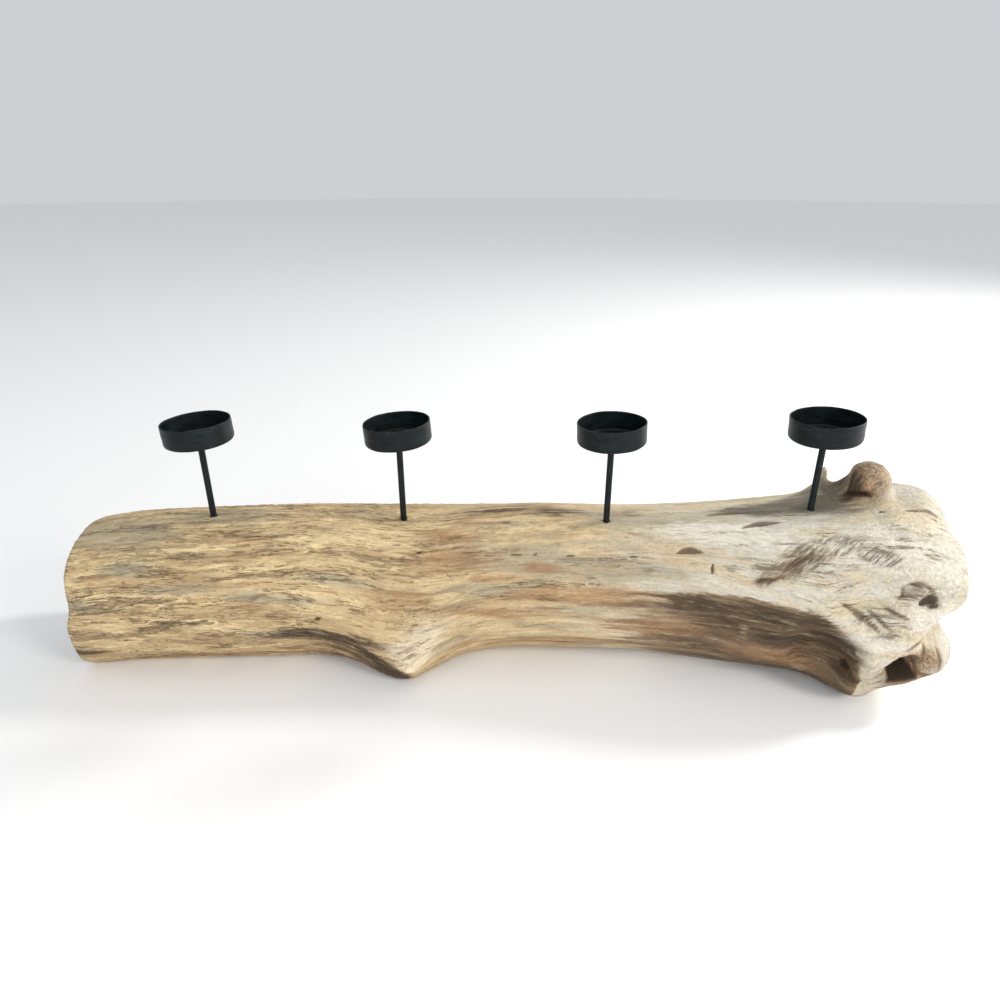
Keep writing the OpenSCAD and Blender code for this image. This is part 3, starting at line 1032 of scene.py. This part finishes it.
def coating_material(name, brushing, dust, worn):
    """Matt black powder coat: how its fine lines are stretched, and how much dust and wear it shows."""
    coat = Shader(name)
    place = coat.place()
    peel = coat.noise(place, 1.6, 3, 0.55)
    brushed = coat.noise(coat.stretch(place, brushing, (3, 1, 2)), 1.0, 4, 0.6)
    cloud = coat.noise(place, 0.16, 4, 0.6)
    settled = coat.noise(place, 0.7, 5, 0.7)
    colour = coat.mix(coat.step(cloud, 0.35, 0.68), COAT_BLACK, COAT_SLATE)
    colour = coat.cover(colour, coat.step(brushed, 0.5, 0.72), 0.35, COAT_GREY)
    # Dust lies on what faces up
    normal = coat.node("ShaderNodeNewGeometry", {}).outputs["Normal"]
    upward = coat.node("ShaderNodeSeparateXYZ", {0: normal}).outputs[2]
    dusty = coat.times(coat.times(coat.step(settled, 0.45, 0.75), coat.step(upward, 0.5, 0.95)), dust)
    colour = coat.mix(dusty, colour, DUST)
    # Bare steel shows where handling rubs the coat off
    rubbed = coat.times(coat.step(coat.noise(place, 0.9, 4, 0.7), 0.56, 0.68), coat.attribute("rim"))
    colour = coat.cover(colour, rubbed, worn, BARE_STEEL)
    coat.put(coat.surface.inputs["Base Color"], colour)
    rough = coat.plus(0.36, coat.times(cloud, 0.16))
    coat.put(coat.surface.inputs["Roughness"], coat.plus(rough, coat.times(dusty, 0.5)))
    coat.surface.inputs["Specular IOR Level"].default_value = 0.22
    height = coat.plus(coat.times(peel, 0.5), coat.times(brushed, 0.5))
    coat.put(coat.surface.inputs["Normal"], coat.bump(height, 0.12 * MM, 0.5))
    return coat.material


PARTS = {
    "cup": (make_cup, coating_material("cup_powder_coat", (0.07, 0.07, 1.7), 0.15, 0.35)),
    "stem": (make_stem, coating_material("stem_powder_coat", (2.4, 2.4, 0.1), 0.1, 0.3)),
    "weld": (make_weld, coating_material("weld_powder_coat", (1.5, 1.5, 1.5), 0.25, 0.2)),
}
for i in STANDS:
    for part, (make, coating) in PARTS.items():
        piece = add_object(f"black_{part}_{i}", make(i))
        piece.data.materials.append(coating)
        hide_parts(f"{part}_{i}")
        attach(piece, f"cup_stand_{i}")

# ---------------------------------------------------------------- stage


# A little below the log, so that the two never share a plane
FLOOR_DROP = 0.0005
FLOOR_RADIUS = 8
# Where each light stands, what it points at, its width, its power, and its colour, in metres and watts
LIGHTS = {
    "key": ((1.7, 0.6, 0.95), (0, 0, 0.08), 0.3, 29, (1, 0.97, 0.93)),
    "side": ((1.5, -1.1, 1.0), (0, 0, 0.06), 0.6, 17, (1, 0.97, 0.93)),
    "fill": ((-0.2, -1.9, 1.0), (0, 0, 0.06), 1.6, 13, (0.98, 0.98, 1)),
}
SKY_COLOUR = (0.95, 0.975, 1, 1)
SKY_STRENGTH = 0.64
# The camera that the photo's cups and stems were solved for: metres, degrees and millimetres of lens
CAMERA_AT = (0.0165, -0.416, 0.302)
CAMERA_DOWN = 24.94
CAMERA_TURN = 2.45
LENS = 25.715
SENSOR = 36


def make_floor():
    mesh = bpy.data.meshes.new("floor")
    bm = bmesh.new()
    bmesh.ops.create_circle(bm, cap_ends=True, segments=96, radius=FLOOR_RADIUS)
    bm.to_mesh(mesh)
    bm.free()
    floor = add_object("floor", mesh)
    floor.location.z = -FLOOR_DROP
    paper = Shader("floor_paper")
    paper.put(paper.surface.inputs["Base Color"], (0.93, 0.93, 0.93, 1))
    paper.put(paper.surface.inputs["Roughness"], 0.9)
    mesh.materials.append(paper.material)
    return floor


def make_light(name, at, target, size, power, colour):
    data = bpy.data.lights.new(name, "AREA")
    data.shape = "DISK"
    data.size = size
    data.energy = power
    data.color = colour
    lamp = add_object(name, data)
    lamp.location = at
    lamp.rotation_euler = (Vector(target) - Vector(at)).to_track_quat("-Z", "Y").to_euler()


def make_sky():
    world = bpy.data.worlds.new("studio")
    bpy.context.scene.world = world
    world.use_nodes = True
    sky = world.node_tree.nodes["Background"]
    sky.inputs["Color"].default_value = SKY_COLOUR
    sky.inputs["Strength"].default_value = SKY_STRENGTH


def make_camera():
    data = bpy.data.cameras.new("camera")
    data.sensor_width = SENSOR
    data.lens = LENS
    camera = add_object("camera", data)
    camera.location = CAMERA_AT
    camera.rotation_euler = (math.radians(90 - CAMERA_DOWN), 0, math.radians(CAMERA_TURN))
    bpy.context.scene.camera = camera


floor = make_floor()
for name, settings in LIGHTS.items():
    make_light(name, *settings)
make_sky()
make_camera()
bpy.context.scene.view_settings.view_transform = "Standard"
